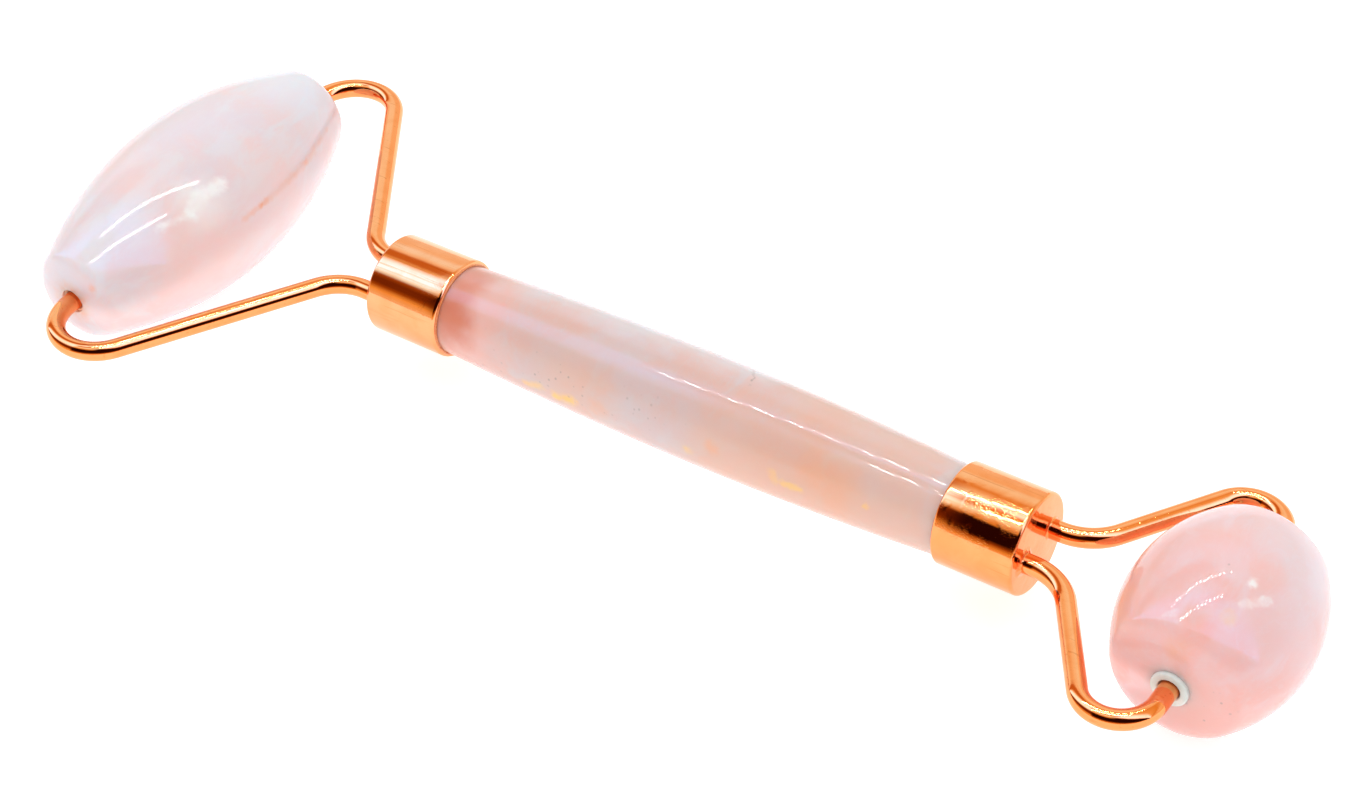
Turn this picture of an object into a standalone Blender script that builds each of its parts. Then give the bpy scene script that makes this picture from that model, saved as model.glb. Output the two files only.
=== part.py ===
"""Double-ended stone face roller: a barrelled grip with a roller in a wire yoke at each end.

Frame, in metres: +X runs along the grip from the large roller to the small one, +Y lies along
the rollers' axes, +Z is up. The roller lies on its two stones, so the origin is under the middle
of the whole object, on the surface it lies on. Left is +Y and right is -Y.

Run it with: blender --background --python part.py
"""

import math

import bmesh
import bpy
from mathutils import Vector

MM = 0.001

# Grip
GRIP_LENGTH = 60.0 * MM  # stone that shows between the ferrules
GRIP_MIDDLE_RADIUS = 5.7 * MM
GRIP_LARGE_END_RADIUS = 4.85 * MM
GRIP_SMALL_END_RADIUS = 4.75 * MM
SPIGOT_RADIUS = 4.4 * MM  # turned-down ends that are glued into the ferrules
SHOULDER = 0.5 * MM  # full-size stone inside the ferrule's mouth

# Ferrules: plated cups, with the yoke's two wires in the end plate
FERRULE_LENGTH = 9.0 * MM
FERRULE_RADIUS = 5.4 * MM
FERRULE_BORE_RADIUS = 4.9 * MM
END_PLATE = 1.5 * MM
FERRULE_EDGE = 0.4 * MM
MOUTH_CHAMFER = 0.15 * MM

# Wire yokes
WIRE_RADIUS = 1.05 * MM
WIRE_HOLE_RADIUS = 1.2 * MM
ROOT_OFFSET = 2.75 * MM  # a wire's root to the grip's axis
STUB_IN_STONE = 5.0 * MM  # how far the wire's end runs into the stone, as its axle

# Rollers
LARGE_ROLLER = {
    "length": 41.0 * MM,
    "middle_radius": 9.8 * MM,
    "end_radius": 4.7 * MM,
    "edge_radius": 2.4 * MM,
    "bore_radius": 1.45 * MM,
}
SMALL_ROLLER = {
    "length": 20.4 * MM,
    "middle_radius": 9.6 * MM,
    "end_radius": 6.2 * MM,
    "edge_radius": 3.2 * MM,
    "bore_radius": 2.0 * MM,
}

# Each yoke's arm, measured from the ferrule's end face. The straight part of the arm runs from
# root_corner, on the root's line, towards corner_spread, on the roller's axis.
LARGE_YOKE = {
    "reach": 28.0 * MM,
    "root_corner": 5.3 * MM,
    "corner_spread": 38.4 * MM,
    "root_bend": 5.5 * MM,
    "hub_bend": 5.0 * MM,
}
SMALL_YOKE = {
    "reach": 19.5 * MM,
    "root_corner": 4.25 * MM,
    "corner_spread": 25.5 * MM,
    "root_bend": 6.0 * MM,
    "hub_bend": 3.9 * MM,
}

# Bushes
BUSH_LENGTH = 6.0 * MM
BUSH_BORE_RADIUS = 1.13 * MM  # runs on the wire with 0.08 mm to spare
LARGE_BUSH_PROUD = -0.3 * MM  # a thin liner, just below the stone's face
LARGE_BUSH_LIP = 0.1 * MM
SMALL_BUSH_PROUD = 0.4 * MM
SMALL_BUSH_LIP = 0.3 * MM

FIT_GAP = 0.05 * MM  # between bonded pieces
ADHESIVE_FLOOR = 0.6 * MM

# Fineness of the curves
TURNED_STEPS = 40
BUSH_STEPS = 20
BARREL_STEPS = 12
EDGE_STEPS = 6
BEND_STEPS = 9
SHARP_ANGLE = math.radians(35)

# Where things stand along X and Z
HALF_GRIP = GRIP_LENGTH / 2
LARGE_AXIS = -(HALF_GRIP + FERRULE_LENGTH + LARGE_YOKE["reach"])
SMALL_AXIS = HALF_GRIP + FERRULE_LENGTH + SMALL_YOKE["reach"]
LEFTMOST = LARGE_AXIS - LARGE_ROLLER["middle_radius"]
RIGHTMOST = SMALL_AXIS + SMALL_ROLLER["middle_radius"]
GRIP_CENTRE_X = -(LEFTMOST + RIGHTMOST) / 2
AXIS_HEIGHT = LARGE_ROLLER["middle_radius"]


def remove_everything():
    """Start from an empty scene."""
    for obj in list(bpy.data.objects):
        bpy.data.objects.remove(obj, do_unlink=True)


def make_collection(name):
    """Add a collection to the scene."""
    collection = bpy.data.collections.new(name)
    bpy.context.scene.collection.children.link(collection)
    return collection


def make_material(name, colour, roughness, metallic):
    """A plain Principled material."""
    material = bpy.data.materials.new(name)
    material.use_nodes = True
    shader = material.node_tree.nodes["Principled BSDF"]
    shader.inputs["Base Color"].default_value = (*colour, 1.0)
    shader.inputs["Roughness"].default_value = roughness
    shader.inputs["Metallic"].default_value = metallic
    return material


def make_empty(name, location, parent=None):
    """An empty that a group of pieces hangs on."""
    empty = bpy.data.objects.new(name, None)
    empty.location = location
    empty.parent = parent
    PARTS.objects.link(empty)
    return empty


def freeze(obj):
    """Turn an object's modifiers into its own mesh, smooth except at its real edges."""
    depsgraph = bpy.context.evaluated_depsgraph_get()
    mesh = bpy.data.meshes.new_from_object(obj.evaluated_get(depsgraph))
    mesh.name = obj.name
    mesh.shade_smooth()
    mesh.set_sharp_from_angle(angle=SHARP_ANGLE)
    obj.modifiers.clear()
    obj.data = mesh


def arc(centre, radius, start, end, steps):
    """Points (r, z) on an arc, with the angles in radians from the outward direction."""
    points = []
    for step in range(steps + 1):
        angle = start + (end - start) * step / steps
        points.append((centre[0] + radius * math.cos(angle), centre[1] + radius * math.sin(angle)))
    return points


def turned(name, outline, closed, along, location, material, parent, steps=TURNED_STEPS):
    """A turned piece. The outline's points (r, z) run down its outer side, top to bottom.

    Z becomes +X, -X or +Y, as along says. An outline that isn't closed ends on the axis.
    """
    mesh = bpy.data.meshes.new(name)
    edges = [(i, i + 1) for i in range(len(outline) - 1)]
    if closed:
        edges.append((len(outline) - 1, 0))
    mesh.from_pydata([(r, 0.0, z) for r, z in outline], edges, [])
    obj = bpy.data.objects.new(name, mesh)
    PARTS.objects.link(obj)

    screw = obj.modifiers.new("Turn", "SCREW")
    screw.axis = "Z"
    screw.angle = 2 * math.pi
    screw.steps = steps
    screw.render_steps = steps
    screw.use_merge_vertices = True
    screw.merge_threshold = 0.00001
    freeze(obj)

    quarter = math.pi / 2
    turns = {"+X": (0, quarter, 0), "-X": (0, -quarter, 0), "+Y": (-quarter, 0, 0), "-Y": (quarter, 0, 0)}
    obj.rotation_euler = turns[along]
    obj.location = location
    obj.parent = parent
    obj.data.materials.append(material)
    return obj


def barrel_radius(position, half_length, middle, end):
    """A barrel's radius: full in the middle, falling as a parabola to its ends."""
    return middle - (middle - end) * (position / half_length) ** 2


def roller_outline(length, middle_radius, end_radius, edge_radius, bore_radius):
    """Half the stone's outline, mirrored: barrel, rounded edges, flat ends and a through bore."""
    half = length / 2
    slope = math.atan(2 * (middle_radius - end_radius) / half)
    touch = half - edge_radius * (1 - math.sin(slope))
    touch_radius = barrel_radius(touch, half, middle_radius, end_radius)
    edge_centre = (touch_radius - edge_radius * math.cos(slope), half - edge_radius)

    top = [(bore_radius, half)]
    top += arc(edge_centre, edge_radius, math.pi / 2, slope, EDGE_STEPS)
    for step in range(1, BARREL_STEPS // 2):
        z = touch * (1 - 2 * step / BARREL_STEPS)
        top.append((barrel_radius(z, half, middle_radius, end_radius), z))
    bottom = [(r, -z) for r, z in reversed(top)]
    return top + [(middle_radius, 0.0)] + bottom


def make_roller(label, axis_x, shape, bush_proud, bush_lip):
    """A stone with a bush in each end, on an empty that stands on its axis."""
    hub = make_empty(label + "_axis", (axis_x, 0, 0), ROOT)
    turned(label + "_stone", roller_outline(**shape), True, "+Y", (0, 0, 0), ROSE_QUARTZ, hub)

    radius = shape["bore_radius"] - FIT_GAP
    outer_end = shape["length"] / 2 + bush_proud
    sleeve = [
        (BUSH_BORE_RADIUS, outer_end),
        (radius - bush_lip, outer_end),
        (radius, outer_end - bush_lip),
        (radius, outer_end - BUSH_LENGTH),
        (BUSH_BORE_RADIUS, outer_end - BUSH_LENGTH),
    ]
    for side, along in (("left", "+Y"), ("right", "-Y")):
        name = label + "_" + side + "_bush"
        turned(name, sleeve, True, along, (0, 0, 0), WHITE_NYLON, hub, BUSH_STEPS)


def make_grip():
    """The grip's stone, with a spigot at each end that goes into a ferrule."""
    tip = HALF_GRIP + FERRULE_LENGTH - END_PLATE - ADHESIVE_FLOOR - 2 * FIT_GAP

    def end(sign, radius):
        return [
            (0.0, sign * tip),
            (SPIGOT_RADIUS, sign * tip),
            (SPIGOT_RADIUS, sign * (HALF_GRIP + SHOULDER)),
            (radius, sign * (HALF_GRIP + SHOULDER)),
            (radius, sign * HALF_GRIP),
        ]

    barrel = []
    for step in range(1, BARREL_STEPS):
        z = HALF_GRIP * (1 - 2 * step / BARREL_STEPS)
        end_radius = GRIP_SMALL_END_RADIUS if z > 0 else GRIP_LARGE_END_RADIUS
        barrel.append((barrel_radius(z, HALF_GRIP, GRIP_MIDDLE_RADIUS, end_radius), z))
    outline = end(1, GRIP_SMALL_END_RADIUS) + barrel + list(reversed(end(-1, GRIP_LARGE_END_RADIUS)))
    turned("handle_stone", outline, False, "+X", (GRIP_CENTRE_X, 0, 0), ROSE_QUARTZ, ROOT)


def make_wire_hole(name, location):
    """A cutter for one wire's hole in a ferrule's end plate."""
    mesh = bpy.data.meshes.new(name)
    shape = bmesh.new()
    bmesh.ops.create_cone(
        shape,
        cap_ends=True,
        segments=BUSH_STEPS,
        radius1=WIRE_HOLE_RADIUS,
        radius2=WIRE_HOLE_RADIUS,
        depth=4 * END_PLATE,
    )
    shape.to_mesh(mesh)
    shape.free()
    cutter = bpy.data.objects.new(name, mesh)
    cutter.rotation_euler = (0, math.pi / 2, 0)
    cutter.location = location
    cutter.parent = ROOT
    cutter.hide_render = True
    cutter.display_type = "WIRE"
    CUTTERS.objects.link(cutter)
    return cutter


def make_ferrule(label, sign, mouth_x):
    """A plated cup with two wire holes, and the adhesive between it and the spigot."""
    along = "+X" if sign > 0 else "-X"
    inner_face = FERRULE_LENGTH - END_PLATE
    edge_centre = (FERRULE_RADIUS - FERRULE_EDGE, FERRULE_LENGTH - FERRULE_EDGE)
    cup = [(0.0, FERRULE_LENGTH)]
    cup += arc(edge_centre, FERRULE_EDGE, math.pi / 2, 0, EDGE_STEPS)
    cup += [
        (FERRULE_RADIUS, MOUTH_CHAMFER),
        (FERRULE_RADIUS - MOUTH_CHAMFER, 0.0),
        (FERRULE_BORE_RADIUS, 0.0),
        (FERRULE_BORE_RADIUS, inner_face),
        (0.0, inner_face),
    ]
    ferrule = turned(label + "_ferrule", cup, False, along, (mouth_x, 0, 0), ROSE_GOLD, ROOT)
    plate_x = mouth_x + sign * (FERRULE_LENGTH - END_PLATE / 2)
    for side, y in (("left", ROOT_OFFSET), ("right", -ROOT_OFFSET)):
        cutter = make_wire_hole(label + "_" + side + "_wire_hole", (plate_x, y, 0))
        cut = ferrule.modifiers.new("Wire hole " + side, "BOOLEAN")
        cut.operation = "DIFFERENCE"
        cut.solver = "EXACT"
        cut.object = cutter

    floor_top = inner_face - FIT_GAP
    floor_bottom = floor_top - ADHESIVE_FLOOR
    sleeve_end = SHOULDER + FIT_GAP
    adhesive = [
        (0.0, floor_top),
        (FERRULE_BORE_RADIUS - FIT_GAP, floor_top),
        (FERRULE_BORE_RADIUS - FIT_GAP, sleeve_end),
        (SPIGOT_RADIUS + FIT_GAP, sleeve_end),
        (SPIGOT_RADIUS + FIT_GAP, floor_bottom),
        (0.0, floor_bottom),
    ]
    turned(label + "_adhesive", adhesive, False, along, (mouth_x, 0, 0), CURED_ADHESIVE, ROOT)


def rounded_path(corners, bend_radii):
    """A flat path through the corners, each inner one rounded to its bend radius."""
    points = [corners[0]]
    for before, corner, after, radius in zip(corners, corners[1:], corners[2:], bend_radii):
        to_before = (before - corner).normalized()
        to_after = (after - corner).normalized()
        half_angle = to_before.angle(to_after) / 2
        centre = corner + (to_before + to_after).normalized() * (radius / math.sin(half_angle))
        touch = radius / math.tan(half_angle)
        start = (corner + to_before * touch - centre).normalized()
        end = (corner + to_after * touch - centre).normalized()
        for step in range(BEND_STEPS + 1):
            points.append(centre + start.slerp(end, step / BEND_STEPS) * radius)
    points.append(corners[-1])
    return points


def make_arm(name, face_x, sign, side, shape, roller):
    """One bent wire, from its root in the ferrule's end plate to its stub in the stone."""
    stub_end = roller["length"] / 2 - STUB_IN_STONE
    corners = [
        (-END_PLATE, ROOT_OFFSET),
        (shape["root_corner"], ROOT_OFFSET),
        (shape["reach"], shape["corner_spread"]),
        (shape["reach"], stub_end),
    ]
    vectors = [Vector((sign * out, side * spread, 0)) for out, spread in corners]
    path = rounded_path(vectors, (shape["root_bend"], shape["hub_bend"]))

    curve = bpy.data.curves.new(name, "CURVE")
    curve.dimensions = "3D"
    curve.bevel_depth = WIRE_RADIUS
    curve.bevel_resolution = 3
    curve.use_fill_caps = True
    spline = curve.splines.new("POLY")
    spline.points.add(len(path) - 1)
    for point, place in zip(spline.points, path):
        point.co = (*place, 1.0)
    curve.materials.append(ROSE_GOLD)
    arm = bpy.data.objects.new(name, curve)
    arm.location = (face_x, 0, 0)
    arm.parent = ROOT
    PARTS.objects.link(arm)


def make_yoke(label, face_x, sign, shape, roller):
    """A left and a right arm, mirror images of each other."""
    make_arm(label + "_left_arm", face_x, sign, 1, shape, roller)
    make_arm(label + "_right_arm", face_x, sign, -1, shape, roller)


remove_everything()
PARTS = make_collection("face_roller")
CUTTERS = make_collection("cutters")

ROSE_QUARTZ = make_material("rose_quartz", (0.83, 0.62, 0.60), 0.12, 0.0)
ROSE_GOLD = make_material("rose_gold_plating", (0.93, 0.36, 0.15), 0.18, 1.0)
WHITE_NYLON = make_material("white_nylon", (0.80, 0.81, 0.80), 0.45, 0.0)
CURED_ADHESIVE = make_material("cured_adhesive", (0.75, 0.72, 0.62), 0.35, 0.0)

ROOT = make_empty("face_roller_root", (0, 0, AXIS_HEIGHT))
MOUTH_LARGE = GRIP_CENTRE_X - HALF_GRIP
MOUTH_SMALL = GRIP_CENTRE_X + HALF_GRIP

make_grip()
make_ferrule("large_end", -1, MOUTH_LARGE)
make_ferrule("small_end", 1, MOUTH_SMALL)
make_yoke("large_yoke", MOUTH_LARGE - FERRULE_LENGTH, -1, LARGE_YOKE, LARGE_ROLLER)
make_yoke("small_yoke", MOUTH_SMALL + FERRULE_LENGTH, 1, SMALL_YOKE, SMALL_ROLLER)
LARGE_X = GRIP_CENTRE_X + LARGE_AXIS
SMALL_X = GRIP_CENTRE_X + SMALL_AXIS
make_roller("large_roller", LARGE_X, LARGE_ROLLER, LARGE_BUSH_PROUD, LARGE_BUSH_LIP)
make_roller("small_roller", SMALL_X, SMALL_ROLLER, SMALL_BUSH_PROUD, SMALL_BUSH_LIP)
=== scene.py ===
"""Looks for the stone face roller: fine meshes, polished stone, rose-gold plating and a pale studio.

Lengths are in metres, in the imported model's frame: +X runs along the grip from the large roller to
the small one, +Y lies along the rollers' axes and +Z is up. Left is +Y and right is -Y.
"""

import math
from collections import namedtuple

import bpy
from mathutils import Matrix, Vector, noise


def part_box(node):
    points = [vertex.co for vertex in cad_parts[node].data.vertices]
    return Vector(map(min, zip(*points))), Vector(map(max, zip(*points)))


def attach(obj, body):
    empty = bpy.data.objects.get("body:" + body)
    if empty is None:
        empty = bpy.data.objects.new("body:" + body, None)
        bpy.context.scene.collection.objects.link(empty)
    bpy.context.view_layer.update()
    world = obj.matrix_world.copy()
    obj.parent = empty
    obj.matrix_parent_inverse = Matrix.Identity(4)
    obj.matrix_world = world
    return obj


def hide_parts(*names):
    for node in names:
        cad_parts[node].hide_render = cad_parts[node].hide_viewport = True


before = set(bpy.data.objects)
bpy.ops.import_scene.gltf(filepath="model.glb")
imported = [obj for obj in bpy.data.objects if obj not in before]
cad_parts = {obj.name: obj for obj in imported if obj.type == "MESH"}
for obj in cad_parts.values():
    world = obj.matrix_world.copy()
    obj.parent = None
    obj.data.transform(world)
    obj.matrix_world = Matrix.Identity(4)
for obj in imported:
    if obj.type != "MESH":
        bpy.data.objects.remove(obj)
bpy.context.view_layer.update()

MM = 0.001

# Shapes that the boxes of the CAD nodes don't give, as in the CAD
GRIP_LARGE_END_RADIUS = 4.85 * MM
GRIP_SMALL_END_RADIUS = 4.75 * MM
LARGE_END_RADIUS = 4.7 * MM
SMALL_END_RADIUS = 6.2 * MM
LARGE_EDGE_RADIUS = 2.4 * MM
SMALL_EDGE_RADIUS = 3.2 * MM
LARGE_BORE_RADIUS = 1.45 * MM
SMALL_BORE_RADIUS = 2.0 * MM
BORE_ROUNDING = 0.05 * MM
BUSH_GAP = 0.05 * MM
BORE_CLOSING = 0.8  # the share of that gap that the polished bore closes
BUSH_BORE_RADIUS = 1.13 * MM
LARGE_BUSH_ROUNDING = 0.08 * MM
SMALL_BUSH_ROUNDING = 0.22 * MM
WIRE_RADIUS = 1.05 * MM
ROOT_OFFSET = 2.75 * MM
STUB_IN_STONE = 5 * MM
GRIP_SHOULDER = 0.5 * MM
END_PLATE = 1.5 * MM
FERRULE_BORE_RADIUS = 4.9 * MM
FERRULE_END_ROUNDING = 0.38 * MM
FERRULE_MOUTH_BEVEL = 0.36 * MM
LARGE_YOKE = {"root_corner": 5.3 * MM, "spread": 38.4 * MM, "root_bend": 5.5 * MM, "hub_bend": 5.0 * MM}
SMALL_YOKE = {"root_corner": 4.25 * MM, "spread": 25.5 * MM, "root_bend": 6.0 * MM, "hub_bend": 3.9 * MM}

# Fineness of the meshes
AROUND = 128
AROUND_WIRE = 32
BARREL_RINGS = 64
DOME_RINGS = 24
BEND_RINGS = 40
AROUND_SMALL = 64
WIRE_STEP = 0.5 * MM
SHARP_ANGLE = math.radians(50)

# Braze at a wire's root: how wide it flares and how rough it is
NEAT_BRAZE = (0.25 * MM, 0.03 * MM)
BRAZE_SHAPES = {"small_yoke_right_arm": (0.75 * MM, 0.35 * MM)}
BRAZE_GRIP = 0.1 * MM  # how far it reaches into the wire
BRAZE_DEPTH = 0.2 * MM  # and into the end plate
BRAZE_LUMPS = 0.45 * MM

# The bead of adhesive at a ferrule's mouth: its centre stands off the stone and back from the mouth
SEAM_RADIUS = 0.16 * MM
SEAM_OUT = 0.09 * MM
SEAM_BACK = 0.06 * MM

# Hand finishing: how far a polished surface wanders inwards, and over what distance
STONE_WANDER = 0.03 * MM
WIRE_WANDER = 0.006 * MM
ROLLER_WANDER_SIZE = 9 * MM
GRIP_WANDER_SIZE = 11 * MM
WIRE_WANDER_SIZE = 3 * MM

# Camera, as in the photograph
TARGET = Vector((1.7, 0.5, 9.1)) * MM
CAMERA_DISTANCE = 332.3 * MM
CAMERA_AZIMUTH = math.radians(35.99)
CAMERA_ELEVATION = math.radians(41.43)
CAMERA_ROLL = math.radians(-3.33)
LENS = 85.82
SENSOR_WIDTH = 36
CLIP_START = 0.01

# Studio
LED_HEIGHT = 236 * MM
LED_PITCH = 13.0 * MM
LED_SIZE = (3.6 * MM, 10.0 * MM)
LED_BRIGHTNESS = 70.0
LED_ROWS = {"far": ((-112 * MM, -38 * MM), 18), "near": ((-45 * MM, -85 * MM), 14)}
SOFTBOX_SIZE = 5.0
SOFTBOX_HEIGHT = 1.0
SOFTBOX_BRIGHTNESS = 1.2
FLOOR_SIZE = 6.0
FLOOR_GLOW = 0.45


# ---------------------------------------------------------------- meshes


def add_object(name, vertices, faces):
    """A smooth mesh object in the scene, sharp only at its real edges."""
    mesh = bpy.data.meshes.new(name)
    mesh.from_pydata(vertices, [], faces)
    mesh.validate()
    mesh.update()
    mesh.shade_smooth()
    mesh.set_sharp_from_angle(angle=SHARP_ANGLE)
    obj = bpy.data.objects.new(name, mesh)
    bpy.context.scene.collection.objects.link(obj)
    return obj


def arc(centre, radius, start, end, rings):
    """Points (r, along) on an arc, with the angles in degrees from the outward direction."""
    points = []
    for ring in range(rings + 1):
        angle = math.radians(start + (end - start) * ring / rings)
        points.append((centre[0] + radius * math.cos(angle), centre[1] + radius * math.sin(angle)))
    return points


def wander(place, size, amount):
    """How far a hand-finished surface is from true, between 0 and -amount."""
    return -amount * (0.5 + 0.5 * noise.noise(place / size))


def lathe(name, outline, origin, axis, around=AROUND, wander_size=None, wander_amount=0.0, closed=False):
    """Turn an outline of points (r, along) round the axis that leaves origin. Its sides face outwards."""
    axis = Vector(axis).normalized()
    side = axis.orthogonal().normalized()
    other = axis.cross(side)
    vertices = []
    rings = []
    for radius, along in outline:
        centre = origin + axis * along
        if radius < 1e-7:
            rings.append([len(vertices)])
            vertices.append(centre)
            continue
        ring = []
        for step in range(around):
            angle = 2 * math.pi * step / around
            outward = side * math.cos(angle) + other * math.sin(angle)
            place = centre + outward * radius
            if wander_amount:
                place += outward * wander(place, wander_size, wander_amount)
            ring.append(len(vertices))
            vertices.append(place)
        rings.append(ring)

    faces = []
    pairs = list(zip(rings, rings[1:]))
    if closed:
        pairs.append((rings[-1], rings[0]))
    for upper, lower in pairs:
        for step in range(around):
            following = (step + 1) % around
            if len(upper) == 1:
                faces.append((upper[0], lower[step], lower[following]))
            elif len(lower) == 1:
                faces.append((upper[step], lower[0], upper[following]))
            else:
                faces.append((upper[step], lower[step], lower[following], upper[following]))
    return add_object(name, vertices, faces)


def barrel_radius(along, half, middle, end):
    """A barrel's radius: full in the middle, falling as a parabola to its ends."""
    return middle - (middle - end) * (along / half) ** 2


def dome(shoulder, slope, mouth, rings):
    """A smooth curve from the bore's mouth, where it is flat, out to the barrel's shoulder."""
    shoulder = Vector(shoulder)
    mouth = Vector(mouth)
    lift = (mouth.y - shoulder.y) * 0.75 / math.cos(slope)
    reach = (shoulder.x - mouth.x) * 0.55
    shoulder_handle = shoulder + Vector((-math.sin(slope), math.cos(slope))) * lift
    mouth_handle = mouth + Vector((reach, 0))
    points = []
    for ring in range(rings + 1):
        share = ring / rings
        rest = 1 - share
        point = mouth * rest**3 + mouth_handle * 3 * rest**2 * share
        point += shoulder_handle * 3 * rest * share**2 + shoulder * share**3
        points.append((point.x, point.y))
    return points


def roller_outline(half, middle, end, edge, bore):
    """A barrel with domed ends and a through bore with polished mouths."""
    slope = math.atan(2 * (middle - end) / half)
    touch = half - edge * (1 - math.sin(slope))
    shoulder = (barrel_radius(touch, half, middle, end), touch)
    mouth_centre = (bore + BORE_ROUNDING, half - BORE_ROUNDING)

    top = arc(mouth_centre, BORE_ROUNDING, 180, 90, 4)
    top += dome(shoulder, slope, (bore + BORE_ROUNDING, half), DOME_RINGS)[1:]
    for ring in range(1, BARREL_RINGS // 2):
        along = touch * (1 - 2 * ring / BARREL_RINGS)
        top.append((barrel_radius(along, half, middle, end), along))
    bottom = [(r, -along) for r, along in reversed(top)]
    return top + [(middle, 0.0)] + bottom


def rounded_path(corners, bend_radii):
    """A flat path through the corners, each inner one rounded to its bend radius."""
    points = [corners[0]]
    for before, corner, after, radius in zip(corners, corners[1:], corners[2:], bend_radii):
        to_before = (before - corner).normalized()
        to_after = (after - corner).normalized()
        half_angle = to_before.angle(to_after) / 2
        centre = corner + (to_before + to_after).normalized() * (radius / math.sin(half_angle))
        touch = radius / math.tan(half_angle)
        start = (corner + to_before * touch - centre).normalized()
        end = (corner + to_after * touch - centre).normalized()
        for ring in range(BEND_RINGS + 1):
            points.append(centre + start.slerp(end, ring / BEND_RINGS) * radius)
    points.append(corners[-1])
    return points


def filled_path(points, spacing):
    """The same path with its long straight parts cut into short steps."""
    filled = [points[0]]
    for before, after in zip(points, points[1:]):
        steps = max(1, round((after - before).length / spacing))
        for step in range(1, steps + 1):
            filled.append(before.lerp(after, step / steps))
    return filled


def wire(name, points, radius):
    """A round wire along a flat, level path."""
    vertices = []
    rings = []
    up = Vector((0, 0, 1))
    for index, point in enumerate(points):
        before = points[max(index - 1, 0)]
        after = points[min(index + 1, len(points) - 1)]
        side = up.cross((after - before).normalized())
        ring = []
        for step in range(AROUND_WIRE):
            angle = 2 * math.pi * step / AROUND_WIRE
            outward = side * math.cos(angle) + up * math.sin(angle)
            place = point + outward * radius
            place += outward * wander(place, WIRE_WANDER_SIZE, WIRE_WANDER)
            ring.append(len(vertices))
            vertices.append(place)
        rings.append(ring)
    faces = [tuple(rings[0]), tuple(reversed(rings[-1]))]
    for upper, lower in zip(rings, rings[1:]):
        for step in range(AROUND_WIRE):
            following = (step + 1) % AROUND_WIRE
            faces.append((upper[step], lower[step], lower[following], upper[following]))
    return add_object(name, vertices, faces)


# ---------------------------------------------------------------- materials


class Nodes:
    """A short way to write a material's or a world's node tree."""

    def __init__(self, tree):
        self.tree = tree
        self.tree.nodes.clear()

    def add(self, kind, **settings):
        """Add a node and set its properties."""
        node = self.tree.nodes.new(kind)
        for key, value in settings.items():
            setattr(node, key, value)
        return node

    def join(self, source, target):
        """Link a socket, or set a number, on a target socket."""
        if isinstance(source, bpy.types.NodeSocket):
            self.tree.links.new(source, target)
        else:
            target.default_value = source

    def math(self, operation, first, second=0.0, clamp=False):
        """The result of a math node."""
        node = self.add("ShaderNodeMath", operation=operation, use_clamp=clamp)
        self.join(first, node.inputs[0])
        self.join(second, node.inputs[1])
        return node.outputs[0]

    def vector_math(self, operation, first, second):
        """The result of a vector math node: its value for a length, else its vector."""
        node = self.add("ShaderNodeVectorMath", operation=operation)
        self.join(first, node.inputs[0])
        if operation == "SCALE":
            self.join(second, node.inputs["Scale"])
        else:
            self.join(second, node.inputs[1])
        return node.outputs["Value"] if operation in ("LENGTH", "DISTANCE") else node.outputs["Vector"]

    def ramp(self, value, low, high, out_low=0.0, out_high=1.0):
        """Value taken smoothly from low..high to out_low..out_high."""
        node = self.add("ShaderNodeMapRange", interpolation_type="SMOOTHSTEP")
        self.join(value, node.inputs["Value"])
        self.join(low, node.inputs["From Min"])
        self.join(high, node.inputs["From Max"])
        self.join(out_low, node.inputs["To Min"])
        self.join(out_high, node.inputs["To Max"])
        return node.outputs["Result"]

    def noise(self, place, scale, detail=3.0, roughness=0.5, distortion=0.0):
        """Soft noise, about 0.5."""
        node = self.add("ShaderNodeTexNoise")
        self.join(place, node.inputs["Vector"])
        self.join(scale, node.inputs["Scale"])
        self.join(detail, node.inputs["Detail"])
        self.join(roughness, node.inputs["Roughness"])
        self.join(distortion, node.inputs["Distortion"])
        return node.outputs["Fac"]

    def stretched(self, place, scale, turn=(0, 0, 0)):
        """The place in a turned and stretched copy of the frame."""
        node = self.add("ShaderNodeMapping")
        self.join(place, node.inputs["Vector"])
        node.inputs["Scale"].default_value = scale
        node.inputs["Rotation"].default_value = turn
        return node.outputs["Vector"]

    def mix(self, amount, first, second):
        """One colour taken towards another."""
        node = self.add("ShaderNodeMix", data_type="RGBA", clamp_factor=True)
        self.join(amount, node.inputs["Factor"])
        self.join(first, node.inputs["A"])
        self.join(second, node.inputs["B"])
        return node.outputs["Result"]

    def dot(self, first, second):
        """The dot product of two vectors."""
        node = self.add("ShaderNodeVectorMath", operation="DOT_PRODUCT")
        self.join(first, node.inputs[0])
        self.join(second, node.inputs[1])
        return node.outputs["Value"]

    def streak(self, place, start, end, radius, softness=0.7):
        """1 inside a soft, round-ended streak and 0 outside it, in millimetres."""
        start = Vector(start)
        run = Vector(end) - start
        nearest = tuple(start)
        if run.length > 0:
            from_start = self.vector_math("SUBTRACT", place, tuple(start))
            share = self.math("DIVIDE", self.dot(from_start, tuple(run)), run.length_squared, clamp=True)
            nearest = self.vector_math("ADD", self.vector_math("SCALE", tuple(run), share), tuple(start))
        distance = self.vector_math("DISTANCE", place, nearest)
        return self.ramp(distance, radius * (1 + softness), radius * (1 - softness))

    def bump(self, height, strength, distance):
        """A bump's normal."""
        node = self.add("ShaderNodeBump")
        node.inputs["Strength"].default_value = strength
        node.inputs["Distance"].default_value = distance
        self.join(height, node.inputs["Height"])
        return node.outputs["Normal"]


def colour(red, green, blue):
    """A colour socket's value."""
    return (red, green, blue, 1.0)


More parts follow.
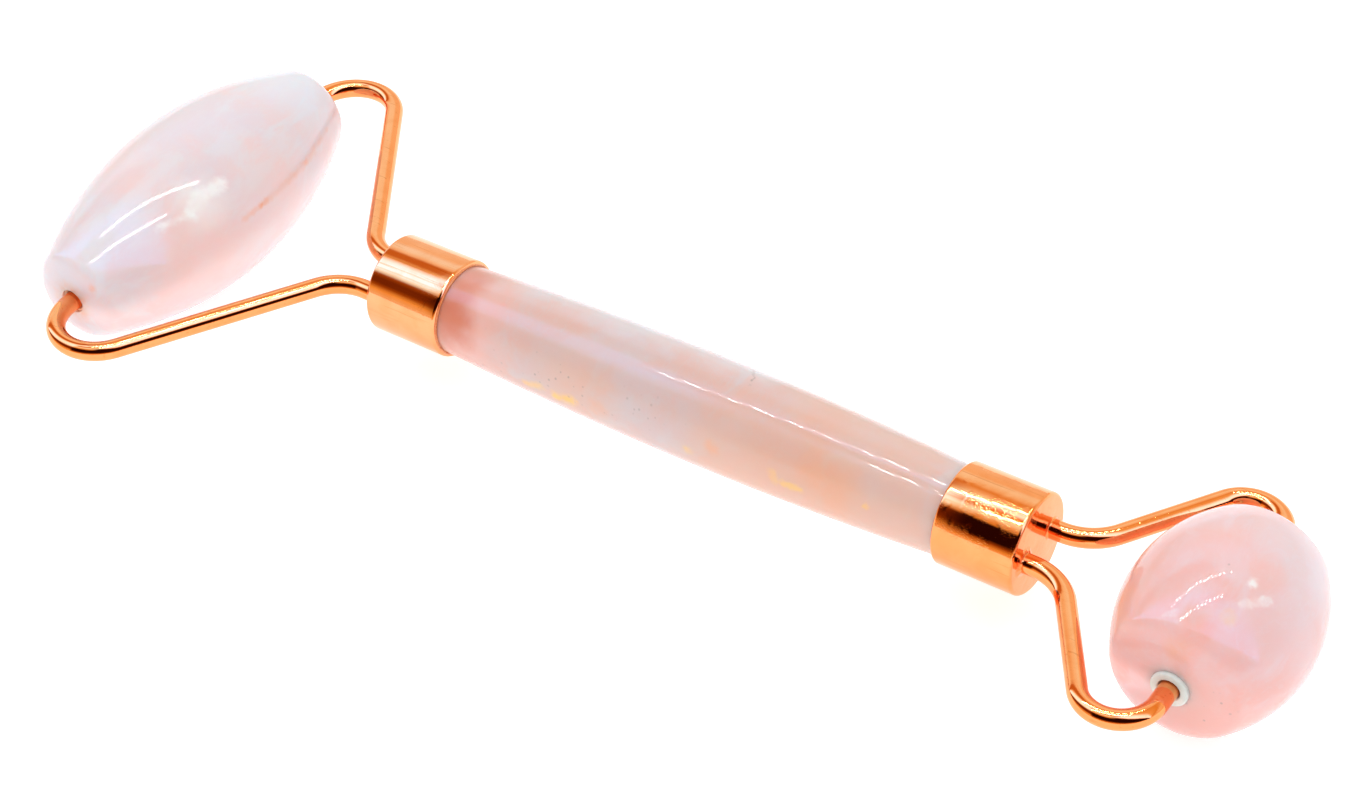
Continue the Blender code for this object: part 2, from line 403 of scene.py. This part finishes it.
def new_material(name):
    """A material with an empty Principled shader, and the place on the object in millimetres."""
    material = bpy.data.materials.new(name)
    material.use_nodes = True
    nodes = Nodes(material.node_tree)
    output = nodes.add("ShaderNodeOutputMaterial")
    shader = nodes.add("ShaderNodeBsdfPrincipled")
    nodes.join(shader.outputs["BSDF"], output.inputs["Surface"])
    coordinates = nodes.add("ShaderNodeTexCoord")
    place = nodes.vector_math("SCALE", coordinates.outputs["Object"], 1 / MM)
    return material, nodes, shader, place


def ragged(nodes, place, scale, amount):
    """The place, pushed about by noise."""
    texture = nodes.add("ShaderNodeTexNoise")
    nodes.join(place, texture.inputs["Vector"])
    texture.inputs["Scale"].default_value = scale
    texture.inputs["Detail"].default_value = 4.0
    offset = nodes.vector_math("SUBTRACT", texture.outputs["Color"], (0.5, 0.5, 0.5))
    return nodes.vector_math("ADD", place, nodes.vector_math("SCALE", offset, amount))


def stone_material(name, body, blush, milk, patches, speck_zones, seed):
    """Cloudy rose quartz with patches and streaks that stand where they are on this stone. Some patches are
    painted light: glints of lamps and the glow of the nearby metal.
    """
    material, nodes, shader, place = new_material(name)
    shifted = nodes.vector_math("ADD", place, (seed, 2.3 * seed, -1.7 * seed))

    # Clouds: broad blushes, milky clouds, then faint sheets like torn veils
    clouds = nodes.noise(shifted, 0.11, detail=4.0, distortion=0.5)
    base = nodes.mix(nodes.ramp(clouds, 0.40, 0.62), body, blush)
    milky = nodes.noise(nodes.stretched(shifted, (0.20, 0.12, 0.26), (0.3, 0.2, 0.5)), 1.0, 5.0, 0.55, 0.8)
    base = nodes.mix(nodes.ramp(milky, 0.47, 0.66, 0.0, 0.75), base, milk)
    sheets = nodes.noise(nodes.stretched(shifted, (0.30, 0.12, 0.45), (0.6, 0.3, -0.4)), 1.0, 5.0, 0.6, 1.4)
    fold = nodes.math("ABSOLUTE", nodes.math("SUBTRACT", sheets, 0.5))
    base = nodes.mix(nodes.ramp(fold, 0.03, 0.0, 0.0, 0.22), base, milk)
    grains = nodes.noise(shifted, 1.6, 4.0, 0.6)
    base = nodes.mix(nodes.ramp(grains, 0.52, 0.72, 0.0, 0.16), base, milk)

    # Patches: their edges are ragged, and the small ones are torn as well
    broad = ragged(nodes, place, 0.25, 4.0)
    fine = ragged(nodes, place, 1.3, 0.9)
    torn = nodes.ramp(nodes.noise(shifted, 0.6, 3.0, 0.5), 0.36, 0.58, 0.45, 1.0)
    for patch in patches:
        is_broad = patch.radius > 2
        amount = nodes.streak(broad if is_broad else fine, patch.start, patch.end, patch.radius)
        if not is_broad:
            amount = nodes.math("MULTIPLY", amount, torn)
        base = nodes.mix(nodes.math("MULTIPLY", amount, patch.strength), base, patch.tint)

    # Specks of mineral, close together in a few zones
    specks = nodes.add("ShaderNodeTexVoronoi")
    nodes.join(shifted, specks.inputs["Vector"])
    specks.inputs["Scale"].default_value = 1.1
    speck = nodes.ramp(specks.outputs["Distance"], 0.20, 0.10)
    for zone in speck_zones:
        amount = nodes.streak(fine, zone.start, zone.end, zone.radius)
        speckled = nodes.math("MULTIPLY", nodes.math("MULTIPLY", amount, speck), zone.strength)
        base = nodes.mix(speckled, base, zone.tint)
    nodes.join(base, shader.inputs["Base Color"])

    polish = nodes.noise(shifted, 1.2, 4.0)
    nodes.join(nodes.ramp(polish, 0.3, 0.75, 0.02, 0.05), shader.inputs["Roughness"])
    ripple = nodes.noise(shifted, 0.5, 3.0)
    nodes.join(nodes.bump(ripple, 0.03, 0.1 * MM), shader.inputs["Normal"])
    shader.inputs["IOR"].default_value = 1.54
    shader.inputs["Specular IOR Level"].default_value = 0.3
    shader.inputs["Subsurface Weight"].default_value = 0.8
    shader.inputs["Subsurface Radius"].default_value = (1.0, 0.55, 0.45)
    shader.inputs["Subsurface Scale"].default_value = 2.0 * MM
    return material


def plated_material(name, tone, pits, roughness):
    """Bright rose-gold plating with fine scratches along X, smudges and a few pits."""
    material, nodes, shader, place = new_material(name)
    red, green, blue = tone
    scratches = nodes.noise(nodes.stretched(place, (0.10, 3.6, 3.6)), 1.0, 2.0, 0.6)
    smudges = nodes.noise(place, 0.45, 3.0, 0.5, 0.5)
    worn = colour(0.97 * red, 0.90 * green, 0.82 * blue)
    base = nodes.mix(nodes.ramp(smudges, 0.35, 0.7), colour(red, green, blue), worn)
    scratched = colour(0.80 * red, 0.60 * green, 0.40 * blue)
    base = nodes.mix(nodes.ramp(scratches, 0.62, 0.72, 0.0, 0.55), base, scratched)
    nodes.join(base, shader.inputs["Base Color"])
    nodes.join(nodes.ramp(smudges, 0.3, 0.75, roughness, roughness * 1.5), shader.inputs["Roughness"])
    shader.inputs["Metallic"].default_value = 1.0

    dents = nodes.add("ShaderNodeTexVoronoi")
    nodes.join(place, dents.inputs["Vector"])
    dents.inputs["Scale"].default_value = 7.0
    pit = nodes.ramp(dents.outputs["Distance"], 0.05, 0.40)
    pitted = nodes.ramp(nodes.noise(place, 0.35, 2.0), 0.47, 0.56)
    depth = nodes.math("MULTIPLY", nodes.math("MULTIPLY", pit, pitted), pits)
    height = nodes.math("ADD", nodes.math("MULTIPLY", scratches, 0.25), depth)
    nodes.join(nodes.bump(height, 0.12, 0.05 * MM), shader.inputs["Normal"])
    return material


def nylon_material(name, dull, bright):
    """Moulded nylon with a soft grain."""
    material, nodes, shader, place = new_material(name)
    mottle = nodes.noise(place, 0.9, 4.0)
    tone = nodes.mix(nodes.ramp(mottle, 0.35, 0.7), dull, bright)
    nodes.join(tone, shader.inputs["Base Color"])
    grain = nodes.noise(place, 9.0, 2.0)
    nodes.join(nodes.ramp(grain, 0.3, 0.7, 0.35, 0.5), shader.inputs["Roughness"])
    nodes.join(nodes.bump(grain, 0.15, 0.02 * MM), shader.inputs["Normal"])
    shader.inputs["Subsurface Weight"].default_value = 0.3
    shader.inputs["Subsurface Radius"].default_value = (1.0, 0.9, 0.8)
    shader.inputs["Subsurface Scale"].default_value = 0.5 * MM
    return material


def adhesive_material(name, clear, dark):
    """Cured adhesive with fine bubbles."""
    material, nodes, shader, place = new_material(name)
    cloud = nodes.noise(place, 0.8, 3.0)
    nodes.join(nodes.mix(nodes.ramp(cloud, 0.3, 0.7), clear, dark), shader.inputs["Base Color"])
    bubbles = nodes.noise(place, 5.0, 2.0)
    nodes.join(nodes.ramp(bubbles, 0.3, 0.7, 0.2, 0.35), shader.inputs["Roughness"])
    nodes.join(nodes.bump(bubbles, 0.2, 0.03 * MM), shader.inputs["Normal"])
    return material


def floor_material():
    """White paper that glows a little, as a lit table does."""
    material, nodes, shader, place = new_material("studio_floor")
    fibre = nodes.noise(place, 0.5, 3.0)
    tone = nodes.mix(nodes.ramp(fibre, 0.3, 0.7), colour(0.90, 0.90, 0.90), colour(0.92, 0.92, 0.92))
    nodes.join(tone, shader.inputs["Base Color"])
    shader.inputs["Roughness"].default_value = 0.9
    shader.inputs["Specular IOR Level"].default_value = 0.0
    shader.inputs["Emission Color"].default_value = colour(1, 1, 1)
    shader.inputs["Emission Strength"].default_value = FLOOR_GLOW
    return material


# ---------------------------------------------------------------- the object


def finish_piece(piece, node, body, material):
    """Dress a piece and let it stand for its CAD node."""
    piece.data.materials.append(material)
    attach(piece, body)
    if node:
        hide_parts(node)


def middle(node):
    """The middle of a CAD node's box, and half its size."""
    low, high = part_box(node)
    return (low + high) / 2, (high - low) / 2


def make_roller(label, end, edge, bore, rounding, material, bush_material):
    """A roller's stone and its two bushes."""
    centre, half = middle(label + "_stone")
    outline = roller_outline(half.y, half.z, end, edge, bore - BORE_CLOSING * BUSH_GAP)
    stone = lathe(
        label + "_polished_stone", outline, centre, (0, 1, 0), wander_size=ROLLER_WANDER_SIZE,
        wander_amount=STONE_WANDER, closed=True,
    )
    finish_piece(stone, label + "_stone", label, material)
    for side, sign in (("left", 1), ("right", -1)):
        node = label + "_" + side + "_bush"
        bush_centre, bush_half = middle(node)
        radius = bore - BUSH_GAP
        inner = (BUSH_BORE_RADIUS + rounding, bush_half.y - rounding)
        outer = (radius - rounding, bush_half.y - rounding)
        sleeve = arc(inner, rounding, 180, 90, 6) + arc(outer, rounding, 90, 0, 6)
        sleeve += [(radius, -bush_half.y), (BUSH_BORE_RADIUS, -bush_half.y)]
        bush = lathe(node + "_ring", sleeve, bush_centre, (0, sign, 0), AROUND_SMALL, closed=True)
        finish_piece(bush, node, label, bush_material)


def make_grip(material):
    """The grip's stone. Its ends sit in the ferrules."""
    centre, half = middle("handle_stone")
    mouth_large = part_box("large_end_ferrule")[1].x
    mouth_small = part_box("small_end_ferrule")[0].x
    grip_centre = (mouth_large + mouth_small) / 2
    grip_half = (mouth_small - mouth_large) / 2
    origin = Vector((grip_centre, centre.y, centre.z))
    reach = grip_half + GRIP_SHOULDER
    outline = [(0.0, reach), (GRIP_SMALL_END_RADIUS, reach)]
    for ring in range(BARREL_RINGS + 1):
        along = grip_half * (1 - 2 * ring / BARREL_RINGS)
        end_radius = GRIP_SMALL_END_RADIUS if along > 0 else GRIP_LARGE_END_RADIUS
        outline.append((barrel_radius(along, grip_half, half.z, end_radius), along))
    outline += [(GRIP_LARGE_END_RADIUS, -reach), (0.0, -reach)]
    stone = lathe(
        "handle_polished_stone", outline, origin, (1, 0, 0), wander_size=GRIP_WANDER_SIZE,
        wander_amount=STONE_WANDER,
    )
    finish_piece(stone, "handle_stone", "handle", material)


def make_ferrule(label, sign, stone_radius, material):
    """A drawn cup with a rolled mouth and a softly rounded end, and the bead of adhesive at its mouth,
    coloured with a painted orange glow.
    """
    node = label + "_ferrule"
    centre, half = middle(node)
    radius = half.z
    rounding = FERRULE_END_ROUNDING
    bevel = FERRULE_MOUTH_BEVEL
    lip = radius - FERRULE_BORE_RADIUS - bevel
    cup = [(0.0, half.x)]
    cup += arc((radius - rounding, half.x - rounding), rounding, 90, 0, 8)
    cup += arc((radius - bevel, -half.x + bevel), bevel, 0, -90, 8)
    cup += arc((FERRULE_BORE_RADIUS + lip, -half.x + lip), lip, -90, -180, 5)
    cup += [(FERRULE_BORE_RADIUS, half.x - END_PLATE), (0.0, half.x - END_PLATE)]
    ferrule = lathe(node + "_cup", cup, centre, (sign, 0, 0))
    finish_piece(ferrule, node, "handle", material)

    bead_centre = (stone_radius + SEAM_OUT, -half.x + SEAM_BACK)
    line = arc(bead_centre, SEAM_RADIUS, 180, -180, 16)[:-1]
    seam = lathe(label + "_seam", line, centre, (sign, 0, 0), closed=True)
    finish_piece(seam, None, "handle", SEAM_PAINTED_GLOW)


def make_yoke(label, ferrule, roller, sign, shape):
    """A yoke's two arms, each with a collar of braze at its root."""
    low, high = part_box(ferrule)
    face_x = high.x if sign > 0 else low.x
    axle, axle_half = middle(roller + "_stone")
    for side, y_sign in (("left", 1), ("right", -1)):
        node = label + "_" + side + "_arm"
        stub_end = axle_half.y - STUB_IN_STONE
        corners = [
            (face_x - sign * END_PLATE, ROOT_OFFSET),
            (face_x + sign * shape["root_corner"], ROOT_OFFSET),
            (axle.x, shape["spread"]),
            (axle.x, stub_end),
        ]
        vectors = [Vector((x, y_sign * y, axle.z)) for x, y in corners]
        path = filled_path(rounded_path(vectors, (shape["root_bend"], shape["hub_bend"])), WIRE_STEP)
        arm = wire(node + "_wire", path, WIRE_RADIUS)
        finish_piece(arm, node, "handle", WIRE)

        flare, roughness = BRAZE_SHAPES.get(node, NEAT_BRAZE)
        fillet = arc((WIRE_RADIUS + flare, flare), flare, 180, 270, 8)
        fillet += [(WIRE_RADIUS - BRAZE_GRIP, -BRAZE_DEPTH), (WIRE_RADIUS - BRAZE_GRIP, flare)]
        root = Vector((face_x, y_sign * ROOT_OFFSET, axle.z))
        collar = lathe(
            node + "_braze", fillet, root, (sign, 0, 0), AROUND_SMALL, wander_size=BRAZE_LUMPS,
            wander_amount=roughness, closed=True,
        )
        finish_piece(collar, None, "handle", BRAZE)


Patch = namedtuple("Patch", "tint strength start end radius")


def spot(tint, strength, centre, radius):
    """A round patch, in millimetres."""
    return Patch(tint, strength, centre, centre, radius)


BLUISH = colour(0.78, 0.83, 0.91)
# The white is a painted glint: reflections of bright lamps put into the stones' colour.
PAINTED_GLINT_WHITE = colour(0.98, 0.97, 0.96)
ROSE = colour(0.93, 0.68, 0.65)
PEACH = colour(0.84, 0.50, 0.36)
SALMON = colour(0.93, 0.50, 0.43)
ORANGE = colour(0.92, 0.42, 0.20)
YELLOW = colour(0.95, 0.62, 0.18)
# A deep red-orange; next to the large ferrule it paints the metal's glow into the stone.
GLOW = colour(0.68, 0.19, 0.10)
GREY = colour(0.34, 0.27, 0.25)

LARGE_PATCHES = [
    Patch(BLUISH, 0.60, (-71.0, -13.0, 13.0), (-70.5, 11.0, 14.5), 4.0),
    spot(BLUISH, 0.70, (-62.0, 15.0, 14.5), 5.5),
    spot(BLUISH, 0.25, (-62.5, -20.0, 13.0), 4.5),
    spot(ROSE, 0.60, (-53.5, -9.0, 11.0), 6.0),
    spot(ROSE, 0.40, (-55.0, 3.0, 12.0), 5.0),
    spot(ROSE, 0.40, (-64.0, -8.0, 19.0), 3.5),
    spot(SALMON, 0.16, (-57.0, -9.5, 17.0), 2.2),
    # Painted reflections: these white streaks and the broad white spot are glints of bright lamps painted
    # into the colour, drawn to look like the stone's inner veils.
    Patch(PAINTED_GLINT_WHITE, 0.70, (-56.9, -11.6, 16.0), (-55.7, -7.6, 15.9), 0.45),
    Patch(PAINTED_GLINT_WHITE, 0.85, (-55.7, -7.6, 15.9), (-56.1, -5.8, 16.6), 0.8),
    Patch(PAINTED_GLINT_WHITE, 0.85, (-56.1, -5.8, 16.6), (-55.7, -2.7, 16.5), 0.7),
    spot(PAINTED_GLINT_WHITE, 0.45, (-56.2, -6.0, 16.0), 2.6),
    Patch(ORANGE, 0.22, (-55.7, 15.5, 12.3), (-54.0, 9.5, 12.1), 0.45),
    Patch(ORANGE, 0.26, (-54.0, 9.5, 12.1), (-53.3, 1.2, 12.5), 0.4),
    Patch(ORANGE, 0.24, (-53.3, 1.2, 12.5), (-53.3, -2.4, 12.4), 0.35),
    spot(ORANGE, 0.60, (-53.3, 0.4, 12.5), 0.35),
    spot(ORANGE, 0.55, (-59.5, -20.5, 12.7), 0.5),
    # Painted glow: an orange ring round each bore, light put into the stone's colour where the recess is in
    # shade.
    spot(ORANGE, 0.75, (-62.65, -20.5, 9.8), 1.9),
    spot(ORANGE, 0.75, (-62.65, 20.5, 9.8), 1.9),
]
LARGE_SPECKS = [spot(GREY, 0.5, (-63.0, -10.1, 18.6), 0.6)]

SMALL_PATCHES = [
    spot(BLUISH, 0.45, (68.0, 4.5, 16.5), 6.0),
    spot(SALMON, 0.55, (56.5, -6.0, 14.0), 5.0),
    spot(SALMON, 0.60, (66.0, -10.0, 7.0), 5.5),
    spot(GLOW, 0.12, (65.5, -8.0, 4.5), 5.0),
    spot(ORANGE, 0.35, (55.0, -6.2, 13.6), 2.2),
    spot(SALMON, 0.40, (61.4, 1.1, 19.3), 2.4),
    spot(SALMON, 0.35, (64.6, -9.1, 17.1), 2.1),
    spot(SALMON, 0.30, (66.3, -0.5, 18.8), 2.1),
    spot(ORANGE, 0.40, (63.1, -10.2, 14.8), 1.2),
    spot(YELLOW, 0.40, (66.4, -6.4, 17.6), 0.7),
    # Painted reflections: this white spot and these streaks are glints of bright lamps painted into the
    # colour, drawn to look like inner veils.
    spot(PAINTED_GLINT_WHITE, 0.85, (66.6, -2.2, 18.5), 0.5),
    Patch(PAINTED_GLINT_WHITE, 0.65, (66.8, -4.6, 18.0), (68.5, -2.5, 17.4), 0.45),
    Patch(PAINTED_GLINT_WHITE, 0.60, (60.5, -9.3, 16.8), (61.7, -8.2, 17.7), 0.4),
    Patch(PAINTED_GLINT_WHITE, 0.45, (60.5, -9.3, 16.8), (62.4, -9.1, 17.3), 0.35),
]
SMALL_SPECKS = [
    spot(GREY, 0.7, (63.8, -2.5, 19.2), 0.5),
    spot(GREY, 0.6, (66.8, -10.2, 9.0), 2.0),
    spot(GREY, 0.4, (62.5, -9.6, 17.1), 0.7),
]

GRIP_PATCHES = [
    Patch(BLUISH, 0.45, (-18.0, 3.5, 14.5), (10.0, 3.5, 14.5), 2.6),
    Patch(PEACH, 0.60, (12.0, -5.0, 9.0), (30.0, -4.5, 9.0), 5.5),
    spot(ORANGE, 0.30, (22.5, -4.6, 12.0), 3.2),
    spot(PEACH, 0.45, (-8.0, -5.3, 10.5), 4.5),
    Patch(PEACH, 0.40, (18.0, 1.0, 15.0), (30.0, 0.5, 14.5), 3.0),
    # Painted glow: the salmon spot and the three red-orange spots next to the large ferrule paint the orange
    # metal's reflection into the stone.
    spot(SALMON, 0.60, (-23.0, -3.5, 12.0), 6.0),
    spot(GLOW, 0.80, (-24.5, -4.5, 12.6), 2.8),
    spot(GLOW, 0.60, (-25.0, 0.5, 15.0), 3.2),
    spot(GLOW, 0.60, (-26.5, -2.0, 7.0), 4.0),
    Patch(YELLOW, 0.55, (-13.9, -5.3, 8.7), (-11.7, -5.4, 9.2), 0.45),
    Patch(YELLOW, 0.85, (-9.9, -5.4, 8.8), (-7.8, -5.5, 9.2), 0.6),
    spot(YELLOW, 0.60, (6.6, -5.7, 9.3), 0.5),
    spot(ORANGE, 0.40, (9.4, -5.6, 10.9), 0.8),
    Patch(YELLOW, 0.40, (16.4, -5.5, 10.7), (16.8, -5.5, 9.8), 0.5),
    Patch(YELLOW, 0.60, (17.8, -5.5, 10.0), (19.6, -5.5, 10.0), 0.4),
    spot(YELLOW, 0.75, (27.0, -5.0, 10.9), 0.35),
    spot(ORANGE, 0.35, (-4.6, -5.6, 9.7), 1.0),
    Patch(GREY, 0.55, (9.2, 2.8, 14.7), (10.3, 0.9, 15.4), 0.14),
    spot(GREY, 0.40, (10.5, 0.0, 15.5), 0.2),
]
GRIP_SPECKS = [
    Patch(GREY, 0.45, (-12.5, -5.2, 11.0), (-9.0, -4.8, 12.0), 1.8),
    Patch(GREY, 0.35, (-7.0, -5.5, 10.5), (4.0, -5.0, 12.0), 1.6),
    spot(GREY, 0.30, (-19.0, -5.0, 9.0), 3.0),
]

LARGE_QUARTZ = stone_material(
    "large_roller_quartz", colour(0.80, 0.70, 0.74), colour(0.85, 0.67, 0.68), colour(0.79, 0.77, 0.81),
    LARGE_PATCHES, LARGE_SPECKS, 3.0,
)
SMALL_QUARTZ = stone_material(
    "small_roller_quartz", colour(0.86, 0.58, 0.58), colour(0.88, 0.51, 0.48), colour(0.85, 0.65, 0.68),
    SMALL_PATCHES, SMALL_SPECKS, 11.0,
)
GRIP_QUARTZ = stone_material(
    "grip_quartz", colour(0.71, 0.56, 0.55), colour(0.75, 0.51, 0.46), colour(0.69, 0.60, 0.60),
    GRIP_PATCHES, GRIP_SPECKS, 27.0,
)
LARGE_END_PLATING = plated_material("large_end_plating", (0.98, 0.41, 0.19), 0.3, 0.05)
SMALL_END_PLATING = plated_material("small_end_plating", (0.98, 0.37, 0.14), 1.2, 0.05)
WIRE = plated_material("wire_plating", (0.99, 0.36, 0.13), 0.2, 0.05)
BRAZE = plated_material("braze_plating", (0.95, 0.33, 0.11), 2.0, 0.14)
NYLON = nylon_material("bush_nylon", colour(0.68, 0.74, 0.70), colour(0.80, 0.83, 0.79))
# The liner's orange is a painted glow: the copper wire's reflection put into the nylon's colour.
LINER_PAINTED_GLOW = nylon_material("liner_nylon_painted_glow", colour(0.93, 0.50, 0.28), colour(0.95, 0.62, 0.42))
ADHESIVE = adhesive_material("ferrule_adhesive", colour(0.80, 0.76, 0.66), colour(0.70, 0.64, 0.50))
# The bead is real adhesive, but its orange is a painted glow: the metal's colour at the mouth put into the
# bead.
SEAM_PAINTED_GLOW = adhesive_material("seam_adhesive_painted_glow", colour(0.90, 0.36, 0.13), colour(0.75, 0.20, 0.06))

make_roller(
    "large_roller", LARGE_END_RADIUS, LARGE_EDGE_RADIUS, LARGE_BORE_RADIUS, LARGE_BUSH_ROUNDING,
    LARGE_QUARTZ, LINER_PAINTED_GLOW,
)
make_roller(
    "small_roller", SMALL_END_RADIUS, SMALL_EDGE_RADIUS, SMALL_BORE_RADIUS, SMALL_BUSH_ROUNDING,
    SMALL_QUARTZ, NYLON,
)
make_grip(GRIP_QUARTZ)
make_ferrule("large_end", -1, GRIP_LARGE_END_RADIUS, LARGE_END_PLATING)
make_ferrule("small_end", 1, GRIP_SMALL_END_RADIUS, SMALL_END_PLATING)
make_yoke("large_yoke", "large_end_ferrule", "large_roller", -1, LARGE_YOKE)
make_yoke("small_yoke", "small_end_ferrule", "small_roller", 1, SMALL_YOKE)
for node_name in ("large_end_adhesive", "small_end_adhesive"):
    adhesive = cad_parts[node_name]
    adhesive.data.materials.clear()
    adhesive.data.materials.append(ADHESIVE)


# ---------------------------------------------------------------- studio


def add_floor():
    """A wide pale floor at the height that the large stone rests on."""
    half = FLOOR_SIZE / 2
    corners = [(-half, -half, 0), (half, -half, 0), (half, half, 0), (-half, half, 0)]
    floor = add_object("studio_floor", corners, [(0, 1, 2, 3)])
    floor.data.materials.append(floor_material())


def add_camera():
    """The photograph's camera."""
    back = Vector((
        math.sin(CAMERA_AZIMUTH) * math.cos(CAMERA_ELEVATION),
        -math.cos(CAMERA_AZIMUTH) * math.cos(CAMERA_ELEVATION),
        math.sin(CAMERA_ELEVATION),
    ))
    data = bpy.data.cameras.new("camera")
    data.lens = LENS
    data.sensor_width = SENSOR_WIDTH
    data.sensor_fit = "HORIZONTAL"
    data.clip_start = CLIP_START
    camera = bpy.data.objects.new("camera", data)
    turn = (-back).to_track_quat("-Z", "Y").to_matrix().to_4x4() @ Matrix.Rotation(CAMERA_ROLL, 4, "Z")
    camera.matrix_world = Matrix.Translation(TARGET + back * CAMERA_DISTANCE) @ turn
    bpy.context.scene.collection.objects.link(camera)
    bpy.context.scene.camera = camera


def add_area_light(name, width, length, brightness, place, turn):
    """A rectangular lamp that faces down, with its width turned from +X. The camera doesn't see it."""
    data = bpy.data.lights.new(name, "AREA")
    data.shape = "RECTANGLE"
    data.size = width
    data.size_y = length
    data.energy = brightness * math.pi * width * length
    lamp = bpy.data.objects.new(name, data)
    lamp.location = place
    lamp.rotation_euler = (0, 0, turn)
    lamp.visible_camera = False
    bpy.context.scene.collection.objects.link(lamp)
    return lamp


def add_softbox():
    """One wide, even light over everything. It lights, but shows in no reflection."""
    place = (0, 0, SOFTBOX_HEIGHT)
    lamp = add_area_light("softbox", SOFTBOX_SIZE, SOFTBOX_SIZE, SOFTBOX_BRIGHTNESS, place, 0)
    lamp.visible_glossy = False


def add_led_strips():
    """Two rows of small lamps over the object, side by side. They only show as reflections."""
    direction = Vector((math.cos(CAMERA_AZIMUTH), math.sin(CAMERA_AZIMUTH), 0))
    for row, (start, count) in LED_ROWS.items():
        first = Vector((*start, LED_HEIGHT))
        for index in range(count):
            name = "led_" + row + "_" + str(index)
            place = first + direction * LED_PITCH * index
            lamp = add_area_light(name, *LED_SIZE, LED_BRIGHTNESS, place, CAMERA_AZIMUTH)
            lamp.visible_diffuse = False


def tent_ramp(nodes, angle, stops):
    """The tent's colour by its angle forwards from straight up, in degrees: -90 is the back wall."""
    share = nodes.math("MULTIPLY_ADD", angle, 1 / 360)
    share.node.inputs[2].default_value = 0.5
    node = nodes.add("ShaderNodeValToRGB")
    elements = node.color_ramp.elements
    elements[0].position = 0.0
    elements[0].color = stops[0][1]
    elements[1].position = 1.0
    elements[1].color = stops[0][1]
    for degrees, value in stops:
        element = elements.new((degrees + 180) / 360)
        element.color = value
    nodes.join(share, node.inputs["Fac"])
    return node.outputs["Color"]


def add_world():
    """A light tent, seen in the reflections only: a strip of light in its roof, a dark opening in front."""
    world = bpy.data.worlds.new("light_tent")
    bpy.context.scene.world = world
    world.use_nodes = True
    world.cycles_visibility.diffuse = False
    nodes = Nodes(world.node_tree)
    output = nodes.add("ShaderNodeOutputWorld")
    coordinates = nodes.add("ShaderNodeTexCoord")
    split = nodes.add("ShaderNodeSeparateXYZ")
    nodes.join(coordinates.outputs["Generated"], split.inputs[0])
    forward = nodes.math("MULTIPLY", split.outputs["Y"], -1.0)
    angle = nodes.math("DEGREES", nodes.math("ARCTAN2", forward, split.outputs["Z"]))
    to_middle = nodes.ramp(split.outputs["X"], *LEFT_TO_MIDDLE)
    to_right = nodes.ramp(split.outputs["X"], *MIDDLE_TO_RIGHT)
    inside = nodes.mix(to_middle, tent_ramp(nodes, angle, LEFT_TENT), tent_ramp(nodes, angle, MIDDLE_TENT))
    inside = nodes.mix(to_right, inside, tent_ramp(nodes, angle, RIGHT_TENT))

    tent = nodes.add("ShaderNodeBackground")
    nodes.join(inside, tent.inputs["Color"])
    backdrop = nodes.add("ShaderNodeBackground")
    backdrop.inputs["Color"].default_value = colour(1, 1, 1)
    rays = nodes.add("ShaderNodeLightPath")
    choice = nodes.add("ShaderNodeMixShader")
    nodes.join(rays.outputs["Is Camera Ray"], choice.inputs["Fac"])
    nodes.join(tent.outputs["Background"], choice.inputs[1])
    nodes.join(backdrop.outputs["Background"], choice.inputs[2])
    nodes.join(choice.outputs["Shader"], output.inputs["Surface"])


WALL = colour(0.98, 0.96, 0.80)
BRIGHT_WALL = colour(1.00, 1.30, 1.50)
SHADE = colour(0.60, 0.24, 0.05)
WARM_SHADE = colour(0.82, 0.50, 0.14)
WARM_WALL = colour(0.95, 0.80, 0.45)
STRIP = colour(1.40, 2.30, 4.20)
STRIP_CORE = colour(1.60, 2.60, 5.20)
HALF_STRIP = colour(1.00, 1.60, 2.10)
OPENING = colour(0.18, 0.04, 0.002)
BLACK_OPENING = colour(0.02, 0.003, 0.001)
OPENING_EDGE = colour(0.36, 0.11, 0.006)
FRONT = colour(0.95, 0.60, 0.16)

# The tent's colour by the angle forwards from straight up, in degrees, for directions towards -X, for
# those in between and for those towards +X
LEFT_TENT = [
    (-90, WALL), (-58, WALL), (-47, BRIGHT_WALL), (-39, BRIGHT_WALL), (-30, WALL), (-24, SHADE), (-12, SHADE),
    (-4, WARM_WALL), (5, STRIP), (13, STRIP_CORE), (15, HALF_STRIP), (17, STRIP_CORE), (24, STRIP_CORE),
    (26, HALF_STRIP), (28, STRIP), (33, HALF_STRIP), (40, OPENING_EDGE), (48, OPENING), (59, OPENING),
    (66, OPENING_EDGE), (76, FRONT), (94, WALL),
]
MIDDLE_TENT = [
    (-90, WALL), (-57, WALL), (-50, BRIGHT_WALL), (-43, BRIGHT_WALL), (-31, WALL), (-24, WARM_SHADE),
    (-14, WALL), (-5, HALF_STRIP), (-2, STRIP), (3, STRIP), (9, WARM_SHADE), (15, WARM_SHADE),
    (21, HALF_STRIP), (26, HALF_STRIP), (31, WARM_WALL), (38, WARM_SHADE), (42, BLACK_OPENING),
    (71, BLACK_OPENING), (78, OPENING_EDGE), (86, FRONT), (94, WALL),
]
RIGHT_TENT = [
    (-90, WALL), (-45, WALL), (-30, WARM_SHADE), (-10, WARM_WALL), (2, STRIP), (18, STRIP_CORE),
    (24, WARM_SHADE), (29, BLACK_OPENING), (68, BLACK_OPENING), (77, OPENING_EDGE), (84, FRONT), (94, WALL),
]
LEFT_TO_MIDDLE = (-0.47, -0.38)
MIDDLE_TO_RIGHT = (0.0, 0.25)

add_floor()
add_camera()
add_softbox()
add_led_strips()
add_world()
bpy.context.scene.view_settings.view_transform = "Standard"
